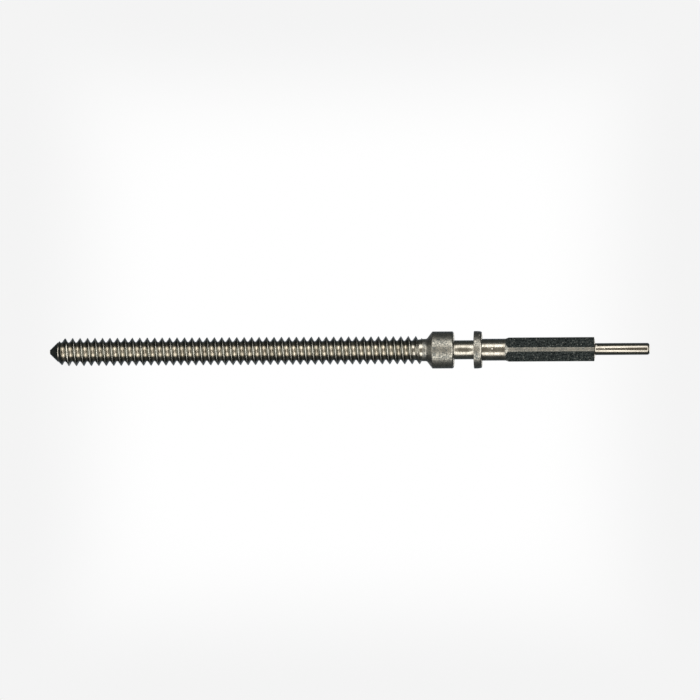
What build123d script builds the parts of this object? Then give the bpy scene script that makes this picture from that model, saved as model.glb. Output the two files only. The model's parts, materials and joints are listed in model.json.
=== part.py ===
from build123d import *
from math import cos, radians, sin, sqrt, tan
import os

# The winding stem of a mechanical watch, turned from a single steel wire.
# It lies along X: the thread for the crown runs to -X, the pilot points to +X.
# The origin is on the axis at the inner end of the bearing collar, where the
# setting lever's slot begins. Each turned section is a solid of its own, and
# meets the next one on a flat face square to the axis.

# Thread for the crown, right-handed
thread_pitch = 0.225
thread_root_diameter = 0.576
thread_depth = 0.14
thread_crest_width = 0.008
thread_root_width = 0.042
thread_length = 10.98
lead_in_length = 0.33
crest_run_out_length = 0.09
root_run_out_length = 0.33
crest_clearance = 0.003
# The flank that faces the tip takes more than half of the two flanks' width
leading_flank_share = 0.56
# Turns from the thread's start to the first crest on top of the stem
first_crest_share = 0.911
flank_points = 10

# Lead point at the free end of the thread
nose_diameter = 0.1
point_half_angle = 45
point_edge_rise = 0.006
point_edge_width = 0.02
# How much further the point's slope climbs over the first crests
point_shoulder_rise = 0.093

# Relief and flare between the thread and the collar
relief_rise = 0.048
relief_length = 0.127
flare_length = 0.165
flare_fillet = 0.07

# Collar that turns in the movement's bearing hole
collar_diameter = 1.117
collar_length = 0.66
collar_chamfer_length = 0.03
collar_chamfer_depth = 0.07

# Slot that the setting lever's pin rides in
slot_width = 0.6
neck_diameter = 0.576
neck_fillet = 0.02

# Flange that closes the slot
flange_diameter = 1.131
flange_width = 0.243
flange_chamfer = 0.012
flange_corner_length = 0.12
flange_corner_depth = 0.045

# Seat that the winding pinion turns on
seat_diameter = 0.66
seat_length = 0.694

# Square that drives the sliding pinion
square_across_flats = 0.592
square_corner_land = 0.12
square_length = 2.719
square_step_length = 0.02
square_ramp_length = 0.09
square_end_taper = 0.03
cutter_radius = 0.16

# Pilot that turns in the movement's inner hole
pilot_diameter = 0.358
pilot_length = 1.654
pilot_fillet = 0.025
pilot_chamfer = 0.045
pilot_end_rise = 0.012

# How far a cutter runs past the metal
overrun = 0.1

thread_root_radius = thread_root_diameter / 2
thread_crest_radius = thread_root_radius + thread_depth
point_edge_radius = thread_root_radius + point_edge_rise
relief_radius = thread_root_radius + relief_rise
nose_radius = nose_diameter / 2
collar_radius = collar_diameter / 2
neck_radius = neck_diameter / 2
flange_radius = flange_diameter / 2
seat_radius = seat_diameter / 2
pilot_radius = pilot_diameter / 2

# The square's four corners are strips of the round blank that the flats leave
flat_distance = square_across_flats / 2
half_land = square_corner_land / 2
blank_radius = sqrt((flat_distance * sqrt(2) - half_land) ** 2 + half_land**2)

# Places along the axis, from the tip to the pilot's end
flare_end = -collar_length
relief_end = flare_end - flare_length
thread_end = relief_end - relief_length
thread_start = thread_end - thread_length
point_base = thread_start - point_edge_width
tip = point_base - (point_edge_radius - nose_radius) / tan(radians(point_half_angle))
flange_start = slot_width
flange_end = flange_start + flange_width
seat_end = flange_end + seat_length
square_end = seat_end + square_length
pilot_end = square_end + pilot_length

os.makedirs("parts", exist_ok=True)

# Lead point: a blunt cone, then a narrow band where the thread begins
with BuildPart() as lead_point:
    with BuildSketch(Plane.XZ):
        with BuildLine():
            Polyline(
                (tip, 0),
                (tip, nose_radius),
                (point_base, point_edge_radius),
                (thread_start, point_edge_radius),
                (thread_start, 0),
                close=True,
            )
        make_face()
    revolve(axis=Axis.X)

# Thread. Cut square across, a screw thread shows a round cam: the root and the
# crest are arcs, each flank is a spiral between them, and the same cam turns
# once in every pitch along the stem.
flank_width = thread_pitch - thread_crest_width - thread_root_width
leading_flank = flank_width * leading_flank_share
trailing_flank = flank_width - leading_flank
first_crest = thread_start + thread_pitch * first_crest_share
shoulder_end = thread_start + point_shoulder_rise / tan(radians(point_half_angle))
lead_in_end = thread_start + lead_in_length
run_out_start = thread_end - root_run_out_length


def turn_of(width):
    return 360 * width / thread_pitch


def spiral(start_radius, end_radius, start_angle, turned):
    points = []
    for step in range(flank_points + 1):
        share = step / flank_points
        radius = start_radius + (end_radius - start_radius) * share
        angle = radians(start_angle + turned * share)
        points.append((radius * cos(angle), radius * sin(angle)))
    Spline(*points)


def thread_cam(place):
    crest_angle = 90 + turn_of(place - first_crest) - turn_of(thread_crest_width) / 2
    fall_angle = crest_angle + turn_of(thread_crest_width)
    root_angle = fall_angle + turn_of(leading_flank)
    rise_angle = root_angle + turn_of(thread_root_width)
    CenterArc((0, 0), thread_crest_radius, crest_angle, arc_size=turn_of(thread_crest_width))
    spiral(thread_crest_radius, thread_root_radius, fall_angle, turn_of(leading_flank))
    CenterArc((0, 0), thread_root_radius, root_angle, arc_size=turn_of(thread_root_width))
    spiral(thread_root_radius, thread_crest_radius, rise_angle, turn_of(trailing_flank))


def wind_cam(start, end):
    sweep(
        path=Line((start, 0, 0), (end, 0, 0), mode=Mode.PRIVATE),
        binormal=Helix(
            pitch=thread_pitch,
            height=end - start,
            radius=thread_root_radius,
            center=(start, 0, 0),
            direction=(1, 0, 0),
            mode=Mode.PRIVATE,
        ),
    )


# Lead-in: the first turns. Their crests rise steeply behind the point, then gently
with BuildPart() as thread_lead_in:
    with BuildSketch(Plane.YZ.offset(thread_start)):
        with BuildLine():
            thread_cam(thread_start)
        make_face()
    wind_cam(thread_start, lead_in_end)
    with BuildSketch(Plane.XZ):
        with BuildLine():
            Polyline(
                (thread_start, 0),
                (thread_start, point_edge_radius),
                (shoulder_end, point_edge_radius + point_shoulder_rise),
                (lead_in_end, thread_crest_radius + crest_clearance),
                (lead_in_end, 0),
                close=True,
            )
        make_face()
    revolve(axis=Axis.X, mode=Mode.INTERSECT)

# Full thread, which is cut to length to suit the case
with BuildPart() as crown_thread:
    with BuildSketch(Plane.YZ.offset(lead_in_end)):
        with BuildLine():
            thread_cam(lead_in_end)
        make_face()
    wind_cam(lead_in_end, run_out_start)

# Run-out: the root climbs to the relief, and the last crest falls to it
with BuildPart() as thread_run_out:
    with BuildSketch(Plane.YZ.offset(run_out_start)):
        with BuildLine():
            thread_cam(run_out_start)
        make_face()
    wind_cam(run_out_start, thread_end)
    with BuildSketch(Plane.XZ):
        with BuildLine():
            Polyline(
                (run_out_start, 0),
                (run_out_start, thread_root_radius),
                (thread_end, relief_radius),
                (thread_end, 0),
                close=True,
            )
        make_face()
    revolve(axis=Axis.X)
    with BuildSketch(Plane.XZ):
        with BuildLine():
            Polyline(
                (run_out_start, 0),
                (run_out_start, thread_crest_radius + crest_clearance),
                (thread_end - crest_run_out_length, thread_crest_radius + crest_clearance),
                (thread_end, relief_radius),
                (thread_end, 0),
                close=True,
            )
        make_face()
    revolve(axis=Axis.X, mode=Mode.INTERSECT)

# Relief: a plain stretch, then a flare up to the collar
with BuildPart() as relief_flare:
    with BuildSketch(Plane.XZ):
        with BuildLine():
            Polyline(
                (thread_end, 0),
                (thread_end, relief_radius),
                (relief_end, relief_radius),
                (flare_end, collar_radius),
                (flare_end, 0),
                close=True,
            )
        make_face()
    revolve(axis=Axis.X)
    flare_foot = relief_flare.edges().filter_by(GeomType.CIRCLE).sort_by(Axis.X)[1]
    fillet(flare_foot, radius=flare_fillet)

# Collar, chamfered where it faces the slot
with BuildPart() as bearing_collar:
    with BuildSketch(Plane.XZ):
        with BuildLine():
            Polyline(
                (flare_end, 0),
                (flare_end, collar_radius),
                (-collar_chamfer_length, collar_radius),
                (0, collar_radius - collar_chamfer_depth),
                (0, 0),
                close=True,
            )
        make_face()
    revolve(axis=Axis.X)

# Neck: the slot's floor, with a small fillet against either wall
with BuildPart() as setting_lever_neck:
    with BuildSketch(Plane.XZ):
        with BuildLine():
            outer_fillet = CenterArc(
                (neck_fillet, neck_radius + neck_fillet), neck_fillet, 180, arc_size=90
            )
            inner_fillet = CenterArc(
                (slot_width - neck_fillet, neck_radius + neck_fillet),
                neck_fillet,
                270,
                arc_size=90,
            )
            Line(outer_fillet @ 1, inner_fillet @ 0)
            Polyline(inner_fillet @ 1, (slot_width, 0), (0, 0), outer_fillet @ 0)
        make_face()
    revolve(axis=Axis.X)

# Flange: a thin disc, eased towards the seat and barely broken at the slot
with BuildPart() as slot_flange:
    with BuildSketch(Plane.XZ):
        with BuildLine():
            corner = EllipticalCenterArc(
                (flange_end - flange_corner_length, flange_radius - flange_corner_depth),
                flange_corner_length,
                flange_corner_depth,
                start_angle=0,
                arc_size=90,
            )
            Polyline(
                corner @ 1,
                (flange_start + flange_chamfer, flange_radius),
                (flange_start, flange_radius - flange_chamfer),
                (flange_start, 0),
                (flange_end, 0),
                corner @ 0,
            )
        make_face()
    revolve(axis=Axis.X)

# Seat: a plain journal
with BuildPart() as pinion_seat:
    with BuildSketch(Plane.YZ.offset(flange_end)):
        Circle(seat_radius)
    extrude(amount=seat_length)

# Square: a round blank that ramps up from the seat, with four milled flats.
# The cutter leaves a hollow at the seat's end of each flat.
ramp_start = seat_end + square_step_length
cut_depth = min(max(seat_radius - flat_distance, 0), cutter_radius)
cutter_reach = sqrt(cutter_radius**2 - (cutter_radius - cut_depth) ** 2)
flat_start = ramp_start + cutter_reach
cutter_centre = (flat_start, flat_distance + cutter_radius)

with BuildPart() as clutch_square:
    with BuildSketch(Plane.XZ):
        with BuildLine():
            Polyline(
                (seat_end, 0),
                (seat_end, seat_radius),
                (ramp_start, seat_radius),
                (ramp_start + square_ramp_length, blank_radius),
                (square_end - square_end_taper, blank_radius),
                (square_end, pilot_radius + pilot_fillet),
                (square_end, 0),
                close=True,
            )
        make_face()
    revolve(axis=Axis.X)
    for side in range(4):
        with BuildSketch(Plane.XZ.rotated((45 + side * 90, 0, 0))):
            with BuildLine():
                hollow = CenterArc(cutter_centre, cutter_radius, 180, arc_size=90)
                Polyline(
                    hollow @ 1,
                    (square_end + overrun, flat_distance),
                    (square_end + overrun, flat_distance + cutter_radius + overrun),
                    (flat_start - cutter_radius, flat_distance + cutter_radius + overrun),
                    hollow @ 0,
                )
            make_face()
        extrude(amount=blank_radius + overrun, both=True, mode=Mode.SUBTRACT)

# Pilot: a plain pivot, chamfered at its end and barely domed
with BuildPart() as pilot_pivot:
    with BuildSketch(Plane.XZ):
        with BuildLine():
            root = CenterArc(
                (square_end + pilot_fillet, pilot_radius + pilot_fillet),
                pilot_fillet,
                180,
                arc_size=90,
            )
            Polyline(
                root @ 1,
                (pilot_end - pilot_end_rise - pilot_chamfer, pilot_radius),
                (pilot_end - pilot_end_rise, pilot_radius - pilot_chamfer),
                (pilot_end, 0),
                (square_end, 0),
                root @ 0,
            )
        make_face()
    revolve(axis=Axis.X)

lead_point.part.label = "lead_point"
thread_lead_in.part.label = "thread_lead_in"
crown_thread.part.label = "crown_thread"
thread_run_out.part.label = "thread_run_out"
relief_flare.part.label = "relief_flare"
bearing_collar.part.label = "bearing_collar"
setting_lever_neck.part.label = "setting_lever_neck"
slot_flange.part.label = "slot_flange"
pinion_seat.part.label = "pinion_seat"
clutch_square.part.label = "clutch_square"
pilot_pivot.part.label = "pilot_pivot"

export_step(lead_point.part, "parts/lead_point.step")
export_step(thread_lead_in.part, "parts/thread_lead_in.step")
export_step(crown_thread.part, "parts/crown_thread.step")
export_step(thread_run_out.part, "parts/thread_run_out.step")
export_step(relief_flare.part, "parts/relief_flare.step")
export_step(bearing_collar.part, "parts/bearing_collar.step")
export_step(setting_lever_neck.part, "parts/setting_lever_neck.step")
export_step(slot_flange.part, "parts/slot_flange.step")
export_step(pinion_seat.part, "parts/pinion_seat.step")
export_step(clutch_square.part, "parts/clutch_square.step")
export_step(pilot_pivot.part, "parts/pilot_pivot.step")
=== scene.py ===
import bmesh
import bpy
import json
from math import cos, pi, radians, sin, tau
from mathutils import Matrix, Vector


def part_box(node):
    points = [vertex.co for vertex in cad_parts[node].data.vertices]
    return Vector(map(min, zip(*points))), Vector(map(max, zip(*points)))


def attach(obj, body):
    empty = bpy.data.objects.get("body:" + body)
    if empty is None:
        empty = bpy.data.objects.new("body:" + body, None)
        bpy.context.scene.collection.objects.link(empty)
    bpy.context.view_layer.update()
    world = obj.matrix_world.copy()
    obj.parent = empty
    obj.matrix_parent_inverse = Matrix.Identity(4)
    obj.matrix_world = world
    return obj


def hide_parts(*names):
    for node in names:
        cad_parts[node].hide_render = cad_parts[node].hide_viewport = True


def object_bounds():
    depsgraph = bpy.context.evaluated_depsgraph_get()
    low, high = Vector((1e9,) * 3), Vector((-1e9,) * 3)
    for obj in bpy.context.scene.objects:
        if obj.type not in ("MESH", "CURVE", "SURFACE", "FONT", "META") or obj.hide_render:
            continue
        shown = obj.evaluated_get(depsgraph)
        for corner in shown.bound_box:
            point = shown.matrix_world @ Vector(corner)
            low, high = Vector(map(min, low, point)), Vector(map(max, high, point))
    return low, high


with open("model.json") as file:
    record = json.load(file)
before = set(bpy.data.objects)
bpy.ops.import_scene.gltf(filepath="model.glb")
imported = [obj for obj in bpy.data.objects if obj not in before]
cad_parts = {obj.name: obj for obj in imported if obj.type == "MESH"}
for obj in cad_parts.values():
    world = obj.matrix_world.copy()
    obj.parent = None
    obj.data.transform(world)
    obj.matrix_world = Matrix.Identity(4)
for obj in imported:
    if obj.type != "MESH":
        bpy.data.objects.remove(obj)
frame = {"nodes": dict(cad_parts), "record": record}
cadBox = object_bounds()
print("frame loaded, sections:", len(frame["nodes"]))

mm = 0.001  # pieces are shaped in millimetres, then brought down to metres
sameSpot = 1e-5  # mm, points nearer than this are one
overrun = 0.1  # mm, how far a cutting shape runs past what it cuts


def hexColour(code):  # sRGB hex to the linear colour that Blender works in
    parts = [int(code[i:i + 2], 16) / 255 for i in (1, 3, 5)]
    return [p / 12.92 if p <= 0.04045 else ((p + 0.055) / 1.055) ** 2.4 for p in parts] + [1]


def addNode(tree, kind, settings=None, inputs=None):
    node = tree.nodes.new(kind)
    for name, value in (settings or {}).items():
        setattr(node, name, value)
    for name, value in (inputs or {}).items():
        if isinstance(value, bpy.types.NodeSocket):
            tree.links.new(value, node.inputs[name])
        else:
            node.inputs[name].default_value = value
    return node


def newMaterial(name):
    material = bpy.data.materials.new(name)
    material.use_nodes = True
    material.node_tree.nodes.clear()
    return material, material.node_tree


# Materials: one hardened carbon steel, left in six finishes. Sizes are in millimetres. Marks and
# patches are noise, markShare is how much the marks count in it, and over darkFrom the pale tone
# gives way to the dark one.

# Turned with a pointed tool: clear reflections in bands, drawn out round the stem by fine
# rings, with slightly darker oily streaks
turnedSteel = {
    "pale": "#aeaeaa",
    "dark": "#86847f",
    "markSize": (0.035, 1.2, 1.2),  # rings round the stem, as coarse as one pixel of the picture
    "markShare": 0.45,
    "markHeight": 0.0004,
    "patchSize": (0.14, 0.35, 0.35),
    "darkFrom": (0.42, 0.64),
    "roughness": (0.2, 0.32),
    "flecks": {"colour": "#f0efec", "radius": 0.028, "apart": 0.36},  # stray specks of dust
}

# Tumbled until matt: a grey, finely pitted skin that spreads the reflections
tumbledSteel = {
    "pale": "#a0a09c",
    "dark": "#606567",
    "markSize": (0.045, 0.045, 0.045),  # pits, no finer than a pixel of the picture
    "markShare": 0.75,
    "markHeight": 0.006,
    "patchSize": (0.22, 0.22, 0.22),
    "darkFrom": (0.42, 0.6),
    "roughness": (0.33, 0.5),
    "flecks": {"colour": "#f0efec", "radius": 0.024, "apart": 0.26},
}

# Milled, and darkened by hardening: blue-grey, nearly black, with lighter specks
milledSteel = {
    "pale": "#7b8588",
    "dark": "#31393c",
    "markSize": (0.05, 0.06, 0.06),
    "markShare": 0.85,
    "markHeight": 0.008,
    "patchSize": (0.2, 0.2, 0.2),
    "darkFrom": (0.4, 0.56),
    "roughness": (0.34, 0.5),
    "flecks": {"colour": "#c0c5c4", "radius": 0.016, "apart": 0.08},  # burrs that catch the light
}

# The pilot: burnished, so its bands are narrower and cleaner
burnishedSteel = {
    **turnedSteel,
    "pale": "#a3a29e",
    "dark": "#8d8b86",
    "markShare": 0.2,
    "markHeight": 0.0002,
    "roughness": (0.14, 0.2),
}

# The thread: as turned, with paler roots, painted shade on its flanks and a painted highlight
# along its crests
threadSteel = {
    **turnedSteel,
    "pale": "#c0bcb3",
    "dark": "#8a867c",
    "roughness": (0.2, 0.29),
    "flankShadeColour": "#7c7f7b",
    "crestHighlightColour": "#dcdcd8",
    "flankStart": (0.31, 0.33),  # distances from the axis over which one tone gives way to the next
    "flankEnd": (0.413, 0.419),
    "crestRoughness": 0.34,
}

# The point: turned, and left black by hardening, so it shows little but the dim room
blackSteel = {
    "pale": "#8a918f",
    "dark": "#626866",
    "markSize": (0.035, 1.2, 1.2),
    "markShare": 0.4,
    "markHeight": 0.0008,
    "patchSize": (0.12, 0.2, 0.2),
    "darkFrom": (0.4, 0.6),
    "roughness": (0.22, 0.32),
    "flecks": {"colour": "#8d9090", "radius": 0.012, "apart": 0.12},
}

fleck = {"core": 0.6, "roughness": 0.6}  # core: the share of its radius over which a fleck is solid


def makeSteel(name, s):
    material, tree = newMaterial(name)
    place = addNode(tree, "ShaderNodeTexCoord").outputs["Object"]
    perMark = addNode(tree, "ShaderNodeMapping", inputs={
        "Vector": place, "Scale": [1 / (a * mm) for a in s["markSize"]]})
    marks = addNode(tree, "ShaderNodeTexNoise", inputs={
        "Vector": perMark.outputs[0], "Scale": 1, "Detail": 3, "Roughness": 0.6})
    perPatch = addNode(tree, "ShaderNodeMapping", inputs={
        "Vector": place, "Scale": [1 / (a * mm) for a in s["patchSize"]]})
    patches = addNode(tree, "ShaderNodeTexNoise", inputs={
        "Vector": perPatch.outputs[0], "Scale": 1, "Detail": 4, "Roughness": 0.62})
    both = addNode(tree, "ShaderNodeMix", inputs={
        0: s["markShare"], 2: patches.outputs[0], 3: marks.outputs[0]})
    darkShare = addNode(tree, "ShaderNodeMapRange", inputs={
        "Value": both.outputs[0], "From Min": s["darkFrom"][0], "From Max": s["darkFrom"][1]})
    skin = addNode(tree, "ShaderNodeMix", {"data_type": "RGBA"}, {
        0: darkShare.outputs[0], 6: hexColour(s["pale"]), 7: hexColour(s["dark"])})
    rough = addNode(tree, "ShaderNodeMapRange", inputs={
        "Value": marks.outputs[0], "From Min": 0.3, "From Max": 0.7,
        "To Min": s["roughness"][0], "To Max": s["roughness"][1]})
    f = s["flecks"]
    cells = addNode(tree, "ShaderNodeTexVoronoi", inputs={"Vector": place, "Scale": 1 / (f["apart"] * mm)})
    isFleck = addNode(tree, "ShaderNodeMapRange", inputs={
        "Value": cells.outputs["Distance"], "From Min": fleck["core"] * f["radius"] / f["apart"],
        "From Max": f["radius"] / f["apart"], "To Min": 1, "To Max": 0})
    colour = addNode(tree, "ShaderNodeMix", {"data_type": "RGBA"}, {
        0: isFleck.outputs[0], 6: skin.outputs[2], 7: hexColour(f["colour"])})
    roughness = addNode(tree, "ShaderNodeMix", inputs={
        0: isFleck.outputs[0], 2: rough.outputs[0], 3: fleck["roughness"]})
    # painted shade on the thread's flanks and a painted highlight along its crests, by distance from the
    # axis
    if "flankShadeColour" in s:
        across = addNode(tree, "ShaderNodeVectorMath", {"operation": "MULTIPLY"}, {
            0: place, 1: (0, 1 / mm, 1 / mm)})
        offAxis = addNode(tree, "ShaderNodeVectorMath", {"operation": "LENGTH"}, {
            0: across.outputs[0]})
        flankShadeShare = addNode(tree, "ShaderNodeMapRange", inputs={
            "Value": offAxis.outputs["Value"],
            "From Min": s["flankStart"][0], "From Max": s["flankStart"][1]})
        crestHighlightShare = addNode(tree, "ShaderNodeMapRange", inputs={
            "Value": offAxis.outputs["Value"],
            "From Min": s["flankEnd"][0], "From Max": s["flankEnd"][1]})
        colour = addNode(tree, "ShaderNodeMix", {"data_type": "RGBA"}, {
            0: flankShadeShare.outputs[0], 6: colour.outputs[2], 7: hexColour(s["flankShadeColour"])})
        colour = addNode(tree, "ShaderNodeMix", {"data_type": "RGBA"}, {
            0: crestHighlightShare.outputs[0], 6: colour.outputs[2], 7: hexColour(s["crestHighlightColour"])})
        roughness = addNode(tree, "ShaderNodeMix", inputs={
            0: crestHighlightShare.outputs[0], 2: roughness.outputs[0], 3: s["crestRoughness"]})
    bump = addNode(tree, "ShaderNodeBump", inputs={
        "Height": marks.outputs[0], "Strength": 1, "Distance": s["markHeight"] * mm})
    steel = addNode(tree, "ShaderNodeBsdfPrincipled", inputs={
        "Base Color": colour.outputs[2], "Metallic": 1,
        "Roughness": roughness.outputs[0], "Normal": bump.outputs[0]})
    addNode(tree, "ShaderNodeOutputMaterial", inputs={"Surface": steel.outputs[0]})
    return material


brightFinish = makeSteel("turned bright steel", turnedSteel)
burnishedFinish = makeSteel("burnished steel", burnishedSteel)
threadFinish = makeSteel("turned thread steel", threadSteel)
mattFinish = makeSteel("tumbled matt steel", tumbledSteel)
milledFinish = makeSteel("milled dark steel", milledSteel)
blackFinish = makeSteel("turned black steel", blackSteel)
print("materials made")


# Modelling

def span(node):  # where the section starts and ends along the stem, in millimetres
    low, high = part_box(node)
    return low.x / mm, high.x / mm


def drawProfile(bm, profile, rounded=()):
    # Joins (place, radius) points by edges above the axis. rounded lists (corner, reach) pairs
    points = [bm.verts.new((x, 0, r)) for x, r in profile]
    for a, b in zip(points, points[1:]):
        bm.edges.new((a, b))
    for corner, reach in rounded:
        bmesh.ops.bevel(bm, geom=[points[corner]], offset=reach, offset_type="OFFSET", affect="VERTICES",
                        segments=4, profile=0.5, material=-1, clamp_overlap=True)


def turn(profile, steps=96, rounded=()):
    bm = bmesh.new()
    drawProfile(bm, profile, rounded)
    bmesh.ops.spin(bm, geom=bm.verts[:] + bm.edges[:], cent=(0, 0, 0), axis=(1, 0, 0), angle=tau,
                   steps=steps, use_merge=True)
    bmesh.ops.remove_doubles(bm, verts=bm.verts, dist=sameSpot)
    bmesh.ops.recalc_face_normals(bm, faces=bm.faces)
    return bm


def toObject(bm, name):
    mesh = bpy.data.meshes.new(name)
    bm.to_mesh(mesh)
    bm.free()
    piece = bpy.data.objects.new(name, mesh)
    bpy.context.scene.collection.objects.link(piece)
    return piece


def reopen(piece):
    bm = bmesh.new()
    bm.from_mesh(piece.data)
    return bm


def putBack(bm, piece):
    bm.to_mesh(piece.data)
    bm.free()


def applyModifiers(piece):
    bpy.context.view_layer.update()
    mesh = bpy.data.meshes.new_from_object(piece.evaluated_get(bpy.context.evaluated_depsgraph_get()))
    piece.modifiers.clear()
    piece.data = mesh


def cutWith(piece, cutter, operation):
    boolean = piece.modifiers.new("cut", "BOOLEAN")
    boolean.object, boolean.operation, boolean.solver = cutter, operation, "EXACT"
    applyModifiers(piece)
    bpy.data.objects.remove(cutter)


def fitPiece(piece, node, finish, edgeAngle=30):
    # To metres, smooth but for edges sharper than edgeAngle, and in its place in the frame
    mesh = piece.data
    mesh.transform(Matrix.Scale(mm, 4))
    mesh.shade_smooth()
    mesh.set_sharp_from_angle(angle=radians(edgeAngle))
    if not mesh.materials:
        mesh.materials.append(finish)
    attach(piece, "root")
    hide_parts(node)
    print(piece.name, "made,", len(mesh.polygons), "faces")


def footPoints(wall, radius, fillet, towards):  # a small fillet from a wall down to the radius
    return [
        (wall, radius + fillet),
        (wall + towards * fillet / 4, radius + fillet / 3),
        (wall + towards * fillet, radius),
    ]


edgeHighlight = {"depth": 0.03, "slope": (0.25, 0.8)}  # slope: how far a face leans along the stem


def paintEdgeHighlight(piece):  # painted highlight: the outer edges of a matt piece get the bright turned finish
    s = edgeHighlight
    piece.data.materials.append(mattFinish)
    piece.data.materials.append(brightFinish)
    top = max(v.co.z for v in piece.data.vertices)
    for face in piece.data.polygons:
        radius = Vector((0, face.center.y, face.center.z)).length
        leans = s["slope"][0] < abs(face.normal.x) < s["slope"][1]
        face.material_index = int(leans and radius > top - s["depth"])


leadPoint = {
    "noseRadius": 0.05,
    "edgeRadius": 0.294,
    "bandWidth": 0.02,
    "noseRound": 0.025,
    "edgeRound": 0.018,
}
start, end = span("lead_point")
s = leadPoint
point = toObject(turn([
    (start, 0),
    (start, s["noseRadius"]),
    (end - s["bandWidth"], s["edgeRadius"]),
    (end, s["edgeRadius"]),
    (end, 0),
], rounded=((1, s["noseRound"]), (2, s["edgeRound"]))), "point")
point.data.materials.append(blackFinish)
point.data.materials.append(brightFinish)
for face in point.data.polygons:  # the edge that the thread starts from is bright
    face.material_index = int(face.center.x > end - s["bandWidth"] - s["edgeRound"] / 2)
fitPiece(point, "lead_point", blackFinish)


thread = {
    "pitch": 0.225,
    "rootRadius": 0.288,
    "crestRadius": 0.4335,  # where the flanks would meet
    "rootWidth": 0.042,
    "trailingFlank": 0.081,
    "leadingFlank": 0.102,
    "firstCrest": 0.205,  # from the thread's start to the first crest on top
    "crestRound": 0.018,
    "rootRound": 0.0205,
    "flankClimb": 0.05,  # an edge of the profile that climbs more than this is a flank
    "steps": 60,  # in one turn
    "spareTurns": 3,  # wound past each end, then cut off
    "mergeWithin": 1e-4,
}


def cutAcross(bm, place, keep):  # cuts square across and closes the end; keep is the side that stays
    made = bmesh.ops.bisect_plane(bm, geom=bm.verts[:] + bm.edges[:] + bm.faces[:], dist=1e-6,
                                  plane_co=(place, 0, 0), plane_no=(-keep, 0, 0), clear_outer=True)
    cut = [g for g in made["geom_cut"] if isinstance(g, bmesh.types.BMEdge)]
    bmesh.ops.holes_fill(bm, edges=cut, sides=0)


def windThread(name, start, end):
    # One pitch of the profile is wound into one turn, right-handed. The turn is then repeated
    # along the stem, from before the start to past the end
    s = thread
    firstCrest = span("thread_lead_in")[0] + s["firstCrest"]
    before = int((start - firstCrest) / s["pitch"]) - s["spareTurns"]
    crest = firstCrest + before * s["pitch"]
    bm = bmesh.new()
    drawProfile(bm, [
        (crest - s["leadingFlank"] - s["rootWidth"] / 2, s["rootRadius"]),
        (crest - s["leadingFlank"], s["rootRadius"]),
        (crest, s["crestRadius"]),
        (crest + s["trailingFlank"], s["rootRadius"]),
        (crest + s["trailingFlank"] + s["rootWidth"] / 2, s["rootRadius"]),
    ], rounded=((1, s["rootRound"]), (3, s["rootRound"]), (2, s["crestRound"])))
    flanks = [e for e in bm.edges if abs(e.verts[0].co.z - e.verts[1].co.z) > s["flankClimb"]]
    bmesh.ops.subdivide_edges(bm, edges=flanks, cuts=2)
    bmesh.ops.spin(bm, geom=bm.verts[:] + bm.edges[:], cent=(0, 0, 0), axis=(1, 0, 0), angle=tau,
                   steps=s["steps"], dvec=(s["pitch"] / s["steps"], 0, 0))
    bmesh.ops.remove_doubles(bm, verts=bm.verts, dist=s["mergeWithin"])
    piece = toObject(bm, name)
    repeat = piece.modifiers.new("turns", "ARRAY")
    repeat.count = int((end - start) / s["pitch"]) + 2 * s["spareTurns"]
    repeat.use_relative_offset, repeat.use_constant_offset = False, True
    repeat.constant_offset_displace = (s["pitch"], 0, 0)
    repeat.use_merge_vertices, repeat.merge_threshold = True, s["mergeWithin"]
    applyModifiers(piece)
    bm = reopen(piece)
    bmesh.ops.remove_doubles(bm, verts=bm.verts, dist=s["mergeWithin"])
    cutAcross(bm, start, 1)
    cutAcross(bm, end, -1)
    bmesh.ops.recalc_face_normals(bm, faces=bm.faces)
    putBack(bm, piece)
    return piece


fullThread = windThread("crownThread", *span("crown_thread"))
fitPiece(fullThread, "crown_thread", threadFinish)


leadIn = {"startRadius": 0.294, "shoulderRise": 0.093, "endRadius": 0.431}
start, end = span("thread_lead_in")
s = leadIn
firstTurns = windThread("threadLeadIn", start, end)
cutWith(firstTurns, toObject(turn([
    (start - overrun, 0),
    (start - overrun, s["startRadius"] - overrun),
    (start + s["shoulderRise"], s["startRadius"] + s["shoulderRise"]),
    (end, s["endRadius"]),
    (end + overrun, s["endRadius"]),
    (end + overrun, 0),
], steps=120), "cone"), "INTERSECT")
fitPiece(firstTurns, "thread_lead_in", threadFinish)


runOut = {"rootRise": 0.048, "crestRadius": 0.431, "crestLength": 0.09, "endRadius": 0.336}
start, end = span("thread_run_out")
s = runOut
lastTurns = windThread("threadRunOut", start - overrun / 2, end + overrun / 2)
slope = s["rootRise"] / (end - start)
cutWith(lastTurns, toObject(turn([
    (start - overrun, 0),
    (start - overrun, thread["rootRadius"] - overrun * slope),
    (end + overrun, s["endRadius"] + overrun * slope),
    (end + overrun, 0),
], steps=120), "risingRoot"), "UNION")
cutWith(lastTurns, toObject(turn([
    (start - 2 * overrun, 0),
    (start - 2 * overrun, s["crestRadius"]),
    (end - s["crestLength"], s["crestRadius"]),
    (end, s["endRadius"]),
    (end + 2 * overrun, s["endRadius"]),
    (end + 2 * overrun, 0),
], steps=120), "envelope"), "INTERSECT")
bm = reopen(lastTurns)
cutAcross(bm, start, 1)
cutAcross(bm, end, -1)
putBack(bm, lastTurns)
fitPiece(lastTurns, "thread_run_out", brightFinish)


relief = {"radius": 0.336, "length": 0.127, "footRound": 0.035, "topEase": 0.008}
collarRadius = frame["record"]["mounts"][0]["dims"]["r_mm"]
start, end = span("relief_flare")
s = relief
flare = toObject(turn([
    (start, 0),
    (start, s["radius"]),
    (start + s["length"], s["radius"]),
    (end, collarRadius - s["topEase"]),
    (end, 0),
], rounded=((2, s["footRound"]),)), "reliefFlare")
fitPiece(flare, "relief_flare", mattFinish)


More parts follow.
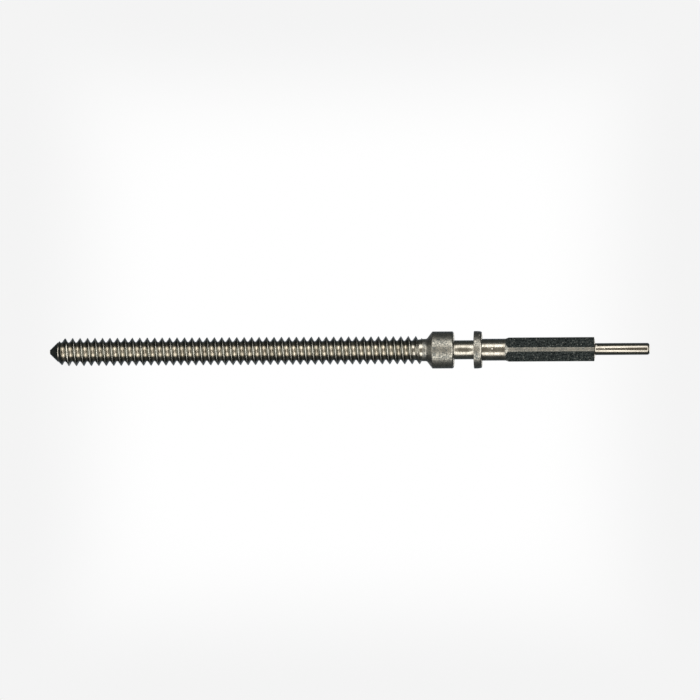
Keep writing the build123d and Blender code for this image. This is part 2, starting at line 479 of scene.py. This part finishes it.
collar = {"chamferLength": 0.03, "chamferDepth": 0.07, "edgeRound": 0.03, "frontRound": 0.012}
start, end = span("bearing_collar")
s = collar
bearing = toObject(turn([
    (start, 0),
    (start, collarRadius - relief["topEase"]),
    (start + relief["topEase"], collarRadius),
    (end - s["chamferLength"], collarRadius),
    (end, collarRadius - s["chamferDepth"]),
    (end, 0),
], rounded=((2, s["frontRound"]), (3, s["edgeRound"]))), "bearingCollar")
# painted highlight along the collar's outer edges
paintEdgeHighlight(bearing)
fitPiece(bearing, "bearing_collar", mattFinish)


neck = {"radius": 0.288, "fillet": 0.02}
start, end = span("setting_lever_neck")
s = neck
slotFloor = toObject(turn([
    (start, 0),
    *footPoints(start, s["radius"], s["fillet"], 1),
    *reversed(footPoints(end, s["radius"], s["fillet"], -1)),
    (end, 0),
]), "leverSlotNeck")
fitPiece(slotFloor, "setting_lever_neck", brightFinish)


flange = {
    "radius": 0.5655,
    "chamfer": 0.012,
    "cornerLength": 0.12,
    "cornerDepth": 0.045,
    "cornerBow": ((0.3, 0.29), (0.06, 0.65)),  # shares of the corner's length left and depth reached
    "cornerRounds": (0.04, 0.012, 0.006),
}
start, end = span("slot_flange")
s = flange
disc = toObject(turn([
    (start, 0),
    (start, s["radius"] - s["chamfer"]),
    (start + s["chamfer"], s["radius"]),
    (end - s["cornerLength"], s["radius"]),
    *((end - left * s["cornerLength"], s["radius"] - deep * s["cornerDepth"])
      for left, deep in s["cornerBow"]),
    (end, s["radius"] - s["cornerDepth"]),
    (end, 0),
], rounded=enumerate(s["cornerRounds"], 3)), "slotFlange")
# painted highlight along the flange's outer edges
paintEdgeHighlight(disc)
fitPiece(disc, "slot_flange", mattFinish)


seat = {"radius": 0.33}
start, end = span("pinion_seat")
journal = toObject(turn([
    (start, 0),
    (start, seat["radius"]),
    (end, seat["radius"]),
    (end, 0),
]), "pinionSeat")
fitPiece(journal, "pinion_seat", brightFinish)


square = {
    "flat": 0.296,  # from the axis
    "cornerRadius": 0.36361,
    "stepLength": 0.02,
    "rampLength": 0.09,
    "endTaper": 0.03,
    "endRadius": 0.204,
    "cutterRadius": 0.16,
    "cutterWidth": 2,
    "cutterTop": 0.7,  # from the axis
    "cutterSteps": 16,
    "edgeRound": 0.006,  # on edges longer than longEdge and sharper than sharpAngle, in degrees
    "longEdge": 1,
    "sharpAngle": 20,
}
start, end = span("clutch_square")
s = square
drive = toObject(turn([
    (start, 0),
    (start, seat["radius"]),
    (start + s["stepLength"], seat["radius"]),
    (start + s["stepLength"] + s["rampLength"], s["cornerRadius"]),
    (end - s["endTaper"], s["cornerRadius"]),
    (end, s["endRadius"]),
    (end, 0),
], steps=160), "clutchSquare")
cutDepth = seat["radius"] - s["flat"]
flatStart = start + s["stepLength"] + (s["cutterRadius"] ** 2 - (s["cutterRadius"] - cutDepth) ** 2) ** 0.5
finishes = (mattFinish, milledFinish, brightFinish)
for finish in finishes:
    drive.data.materials.append(finish)
nearSide = -s["cutterWidth"] / 2
for side in range(4):  # a round cutter mills each flat and leaves its own curve at the seat's end
    bm = bmesh.new()
    lowest = bm.verts.new((flatStart, nearSide, s["flat"]))
    curve = bmesh.ops.spin(bm, geom=[lowest], cent=(flatStart, 0, s["flat"] + s["cutterRadius"]),
                           axis=(0, 1, 0), angle=pi / 2, steps=s["cutterSteps"])
    outline = [curve["geom_last"][0]]
    past, top = end + overrun, s["cutterTop"]
    for x, z in ((outline[0].co.x, top), (past, top), (past, s["flat"])):
        outline.append(bm.verts.new((x, nearSide, z)))
    outline.append(lowest)
    for a, b in zip(outline, outline[1:]):
        bm.edges.new((a, b))
    bmesh.ops.contextual_create(bm, geom=bm.edges[:])
    made = bmesh.ops.extrude_face_region(bm, geom=bm.faces[:])
    farSide = [g for g in made["geom"] if isinstance(g, bmesh.types.BMVert)]
    bmesh.ops.translate(bm, verts=farSide, vec=(0, s["cutterWidth"], 0))
    bmesh.ops.recalc_face_normals(bm, faces=bm.faces)
    bmesh.ops.rotate(bm, verts=bm.verts, cent=(0, 0, 0),
                     matrix=Matrix.Rotation(radians(45 + 90 * side), 3, "X"))
    cutter = toObject(bm, "cutter")
    cutter.data.materials.append(milledFinish)
    cutWith(drive, cutter, "DIFFERENCE")
bm = reopen(drive)
# The square's long edges are bevelled, and the bevels get the bright finish as a painted highlight
longEdges = [e for e in bm.edges if len(e.link_faces) == 2 and e.calc_length() > s["longEdge"]
             and e.calc_face_angle() > radians(s["sharpAngle"])]
bmesh.ops.bevel(bm, geom=longEdges, offset=s["edgeRound"], offset_type="OFFSET", affect="EDGES", segments=3,
                profile=0.5, material=finishes.index(brightFinish), clamp_overlap=False)  # painted highlight
putBack(bm, drive)
fitPiece(drive, "clutch_square", milledFinish, edgeAngle=7)


pilot = {"fillet": 0.025, "chamfer": 0.045, "endRise": 0.012, "edgeRound": 0.022}
pilotRadius = frame["record"]["mounts"][1]["dims"]["r_mm"]
start, end = span("pilot_pivot")
s = pilot
pivotPin = toObject(turn([
    (start, 0),
    *footPoints(start, pilotRadius, s["fillet"], 1),
    (end - s["endRise"] - s["chamfer"], pilotRadius),
    (end - s["endRise"], pilotRadius - s["chamfer"]),
    (end, 0),
], steps=72, rounded=((4, s["edgeRound"]), (5, s["edgeRound"]))), "pilotPivot")
fitPiece(pivotPin, "pilot_pivot", burnishedFinish)


# Studio

studio = {  # in metres and degrees
    "lampDistance": 0.15,
    "ring": {"panels": 12, "tilt": 45, "radiance": 2.75, "size": (0.06, 0.08)},
    "back": {"towards": (0.62, 0.785, 0), "radiance": 2.8, "size": (0.05, 0.12)},
    "lampColour": "#fff8ec",
    "white": "#ffffff",
    "pale": "#f4f4f4",
    "ambient": 0.5,
    "floor": {"radius": 0.35, "gap": 2e-6, "fade": (0.01, 0.024)},
    "backdrop": {"reach": 0.3, "distance": 0.38, "corner": 0.003, "fade": (0.0055, 0.0102)},
}
middle = (cadBox[0] + cadBox[1]) / 2


def addLamp(name, towards, radiance, size):
    lamp = bpy.data.lights.new(name, "AREA")
    lamp.shape, lamp.size, lamp.size_y = "RECTANGLE", size[0], size[1]
    lamp.energy = radiance * pi * size[0] * size[1]
    lamp.color = hexColour(studio["lampColour"])[:3]
    holder = bpy.data.objects.new(name, lamp)
    bpy.context.scene.collection.objects.link(holder)
    away = Vector(towards)
    side = Vector((0, -1, 0)).cross(away).normalized()  # the panel's width runs round the ring
    holder.location = middle + away * studio["lampDistance"]
    holder.rotation_euler = Matrix((side, away.cross(side), away)).transposed().to_euler()
    holder.visible_camera = False


# A ring light round the camera, so a turned surface shows two bright bands
s = studio["ring"]
tilt = radians(s["tilt"])
for panel in range(s["panels"]):
    around = tau * (panel + 0.5) / s["panels"]
    towards = (sin(tilt) * sin(around), -cos(tilt), sin(tilt) * cos(around))
    addLamp("ring panel", towards, s["radiance"], s["size"])

# Two panels behind, for the other side, where nothing on the near side mirrors them
s = studio["back"]
x, y, z = s["towards"]
for side in (x, -x):
    addLamp("back panel", Vector((side, y, z)).normalized(), s["radiance"], s["size"])


def stageObject(bm, name, material):
    thing = toObject(bm, name)
    thing.data.materials.append(material)
    return thing


# The room is dim, as round a microscope's stand, so the metal goes dark beside its bands. It is
# a little warmer in front, cooler behind, paler past the pilot and darker past the thread. Only
# reflections show it.
dimRoom = {  # in metres
    "radius": 0.5,
    "cool": "#4b4f4d",
    "warm": "#8e8473",
    "warmFade": (-0.5, -0.12),
    "fades": (  # along an axis, from where a tone begins to where it is full
        ("Y", (0.3, 0.46), "#76808a"),
        ("X", (0.42, 0.49), "#8a8883"),
        ("X", (-0.2, -0.42), "#36393a"),
    ),
}
s = dimRoom
room, tree = newMaterial("dim room")
place = addNode(tree, "ShaderNodeTexCoord").outputs["Object"]
parts = addNode(tree, "ShaderNodeSeparateXYZ", inputs={0: place})
front = addNode(tree, "ShaderNodeMapRange", inputs={
    "Value": parts.outputs["Y"], "From Min": s["warmFade"][0], "From Max": s["warmFade"][1],
    "To Min": 1, "To Max": 0})
tone = addNode(tree, "ShaderNodeMix", {"data_type": "RGBA"}, {
    0: front.outputs[0], 6: hexColour(s["cool"]), 7: hexColour(s["warm"])})
for axis, (begin, full), colour in s["fades"]:
    share = addNode(tree, "ShaderNodeMapRange", {"interpolation_type": "SMOOTHSTEP"}, {
        "Value": parts.outputs[axis], "From Min": begin, "From Max": full})
    tone = addNode(tree, "ShaderNodeMix", {"data_type": "RGBA"}, {
        0: share.outputs[0], 6: tone.outputs[2], 7: hexColour(colour)})
glow = addNode(tree, "ShaderNodeEmission", inputs={"Color": tone.outputs[2], "Strength": 1})
addNode(tree, "ShaderNodeOutputMaterial", inputs={"Surface": glow.outputs[0]})
bm = bmesh.new()
bmesh.ops.create_icosphere(bm, subdivisions=4, radius=s["radius"])
roomShell = stageObject(bm, "dimRoom", room)
room.cycles.emission_sampling = "NONE"
for ray in ("camera", "diffuse", "transmission", "shadow", "volume_scatter"):
    setattr(roomShell, "visible_" + ray, False)

# The floor takes the stem's soft shadow, and away from it blends into the pale background
s = studio["floor"]
floorWhite, tree = newMaterial("white paper")
place = addNode(tree, "ShaderNodeTexCoord").outputs["Object"]
far = addNode(tree, "ShaderNodeVectorMath", {"operation": "DISTANCE"}, {0: place, 1: middle})
fade = addNode(tree, "ShaderNodeMapRange", {"interpolation_type": "SMOOTHSTEP"}, {
    "Value": far.outputs["Value"], "From Min": s["fade"][0], "From Max": s["fade"][1]})
paper = addNode(tree, "ShaderNodeBsdfDiffuse", inputs={"Color": hexColour(studio["pale"])})
haze = addNode(tree, "ShaderNodeEmission", inputs={"Color": hexColour(studio["pale"]), "Strength": 1})
blend = addNode(tree, "ShaderNodeMixShader", inputs={
    0: fade.outputs[0], 1: paper.outputs[0], 2: haze.outputs[0]})
addNode(tree, "ShaderNodeOutputMaterial", inputs={"Surface": blend.outputs[0]})
bm = bmesh.new()
bmesh.ops.create_circle(bm, cap_ends=True, segments=96, radius=s["radius"])
bmesh.ops.translate(bm, verts=bm.verts, vec=(middle.x, middle.y, cadBox[0].z - s["gap"]))
floor = stageObject(bm, "floor", floorWhite)
floorWhite.cycles.emission_sampling = "NONE"
floor.visible_glossy = False
floor.visible_shadow = False

# Backdrop: white behind the stem and slightly greyer towards the picture's edges
s = studio["backdrop"]
backdropWhite, tree = newMaterial("backdrop")
place = addNode(tree, "ShaderNodeTexCoord").outputs["Object"]
parts = addNode(tree, "ShaderNodeSeparateXYZ", inputs={0: place})
across = addNode(tree, "ShaderNodeMath", {"operation": "ABSOLUTE"}, {0: parts.outputs["X"]})
upDown = addNode(tree, "ShaderNodeMath", {"operation": "ABSOLUTE"}, {0: parts.outputs["Z"]})
reach = addNode(tree, "ShaderNodeMath", {"operation": "SMOOTH_MAX"}, {
    0: across.outputs[0], 1: upDown.outputs[0], 2: s["corner"]})
fade = addNode(tree, "ShaderNodeMapRange", {"interpolation_type": "SMOOTHSTEP"}, {
    "Value": reach.outputs[0], "From Min": s["fade"][0], "From Max": s["fade"][1]})
tone = addNode(tree, "ShaderNodeMix", {"data_type": "RGBA"}, {
    0: fade.outputs[0], 6: hexColour(studio["white"]), 7: hexColour(studio["pale"])})
glow = addNode(tree, "ShaderNodeEmission", inputs={"Color": tone.outputs[2], "Strength": 1})
addNode(tree, "ShaderNodeOutputMaterial", inputs={"Surface": glow.outputs[0]})
bm = bmesh.new()
bmesh.ops.create_grid(bm, x_segments=1, y_segments=1, size=s["reach"])
bmesh.ops.rotate(bm, verts=bm.verts, cent=(0, 0, 0), matrix=Matrix.Rotation(pi / 2, 3, "X"))
backdrop = stageObject(bm, "backdrop", backdropWhite)
backdropWhite.cycles.emission_sampling = "NONE"
for ray in ("diffuse", "glossy", "shadow"):
    setattr(backdrop, "visible_" + ray, False)

world = bpy.data.worlds.new("studio")
bpy.context.scene.world = world
world.use_nodes = True
tree = world.node_tree
tree.nodes.clear()
rays = addNode(tree, "ShaderNodeLightPath")
seen = addNode(tree, "ShaderNodeMath", {"operation": "ADD"}, {
    0: rays.outputs["Is Camera Ray"], 1: rays.outputs["Is Glossy Ray"]})
seen = addNode(tree, "ShaderNodeMath", {"operation": "ADD", "use_clamp": True}, {
    0: seen.outputs[0], 1: rays.outputs["Is Transmission Ray"]})
strength = addNode(tree, "ShaderNodeMapRange", inputs={
    "Value": seen.outputs[0], "To Min": studio["ambient"], "To Max": 1})
sky = addNode(tree, "ShaderNodeBackground", inputs={
    "Color": hexColour(studio["pale"]), "Strength": strength.outputs[0]})
addNode(tree, "ShaderNodeOutputWorld", inputs={"Surface": sky.outputs[0]})
print("studio lit")


# Camera, seen along the bench with the pilot turned two degrees towards it

view = {
    "width": 21.101,  # mm across the picture
    "middle": (-3.14, 0, 0.0145),  # mm, what the picture's centre shows
    "azimuth": 2,
    "roll": -0.322,
    "distance": 90,
}
camera = bpy.data.cameras.new("camera")
camera.type, camera.ortho_scale = "ORTHO", view["width"] * mm
camera.clip_start, camera.clip_end = 0.001, 2
cameraHolder = bpy.data.objects.new("camera", camera)
bpy.context.scene.collection.objects.link(cameraHolder)
turned = radians(view["azimuth"])
toCamera = Vector((sin(turned), -cos(turned), 0))
cameraHolder.location = (Vector(view["middle"]) + view["distance"] * toCamera) * mm
upright = Matrix.Rotation(turned, 3, "Z") @ Matrix.Rotation(pi / 2, 3, "X")
cameraHolder.rotation_euler = (upright @ Matrix.Rotation(radians(view["roll"]), 3, "Z")).to_euler()
bpy.context.scene.camera = cameraHolder
backdrop.location = Vector(view["middle"]) * mm - studio["backdrop"]["distance"] * toCamera
bpy.context.scene.view_settings.view_transform = "Standard"
